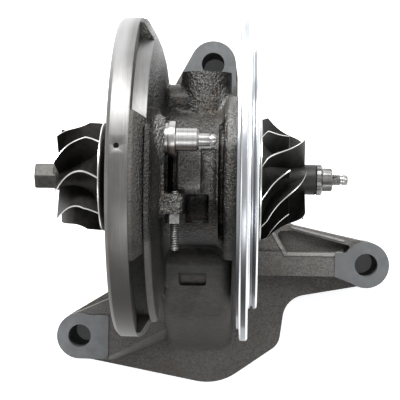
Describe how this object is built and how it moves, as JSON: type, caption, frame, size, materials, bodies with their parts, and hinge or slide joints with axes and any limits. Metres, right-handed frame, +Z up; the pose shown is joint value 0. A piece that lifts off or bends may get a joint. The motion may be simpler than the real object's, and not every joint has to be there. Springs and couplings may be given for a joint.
{
  "type": "turbocharger cartridge",
  "caption": "Turbocharger cartridge: cast bearing housing with turbine and compressor wheels on one shaft, aluminium back plate and vane crank.",
  "frame": {"origin": "on the mounting face, below the middle of the shaft bearings", "axes": "+X along the shaft towards the compressor, +Z up from the mounting face"},
  "size_m": [0.1609, 0.1704, 0.16],
  "materials": {
    "cast_iron": "sand cast, machined rim and lug faces",
    "plate_aluminium": "turned",
    "wheel_aluminium": "dark cast, machined blade edges",
    "turbine_alloy": "dark cast, machined blade edges",
    "turned_steel": "turned and ground",
    "plated_steel": "zinc plated",
    "sheet_steel": "pressed sheet",
    "spring_steel": "oiled",
    "bearing_bronze": "machined",
    "seal_rubber": "matte"
  },
  "bodies": {
    "housing": {"bearing_housing": "cast_iron", "heat_shield": "sheet_steel", "compressor_back_plate": "plate_aluminium", "back_plate_seal": "seal_rubber", "back_plate_screws": "spring_steel", "thrust_bearing": "bearing_bronze", "thrust_pins": "turned_steel", "oil_deflector": "sheet_steel", "bearing_circlips": "spring_steel", "turbine_seal_ring": "spring_steel", "compressor_seal_ring": "spring_steel", "crank_bush": "turned_steel", "crank_washer": "turned_steel", "stop_screw": "plated_steel", "stop_screw_nut": "plated_steel"},
    "rotor": {"turbine_wheel": "turbine_alloy", "rotor_shaft": "turned_steel", "thrust_collar": "turned_steel", "oil_slinger": "turned_steel", "compressor_wheel": "wheel_aluminium", "rotor_nut": "turned_steel"},
    "turbine_bush": {"journal_bearing_turbine": "bearing_bronze"},
    "compressor_bush": {"journal_bearing_compressor": "bearing_bronze"},
    "crank": {"crank_shaft": "plated_steel", "crank_arm": "turned_steel", "crank_pin": "turned_steel"}
  },
  "joints": [
    {"name": "rotor_spin", "type": "hinge", "parent": "housing", "child": "rotor", "pos_m": [0, 0, 0.09], "axis": [1, 0, 0], "continuous": true},
    {"name": "turbine_bush_spin", "type": "hinge", "parent": "housing", "child": "turbine_bush", "pos_m": [-0.013, 0, 0.09], "axis": [1, 0, 0], "continuous": true},
    {"name": "compressor_bush_spin", "type": "hinge", "parent": "housing", "child": "compressor_bush", "pos_m": [0.0046, 0, 0.09], "axis": [1, 0, 0], "continuous": true},
    {"name": "crank_swing", "type": "hinge", "parent": "housing", "child": "crank", "pos_m": [-0.005, 0.015, 0.13], "axis": [1, 0, 0], "range_deg": [-20, 25]}
  ]
}
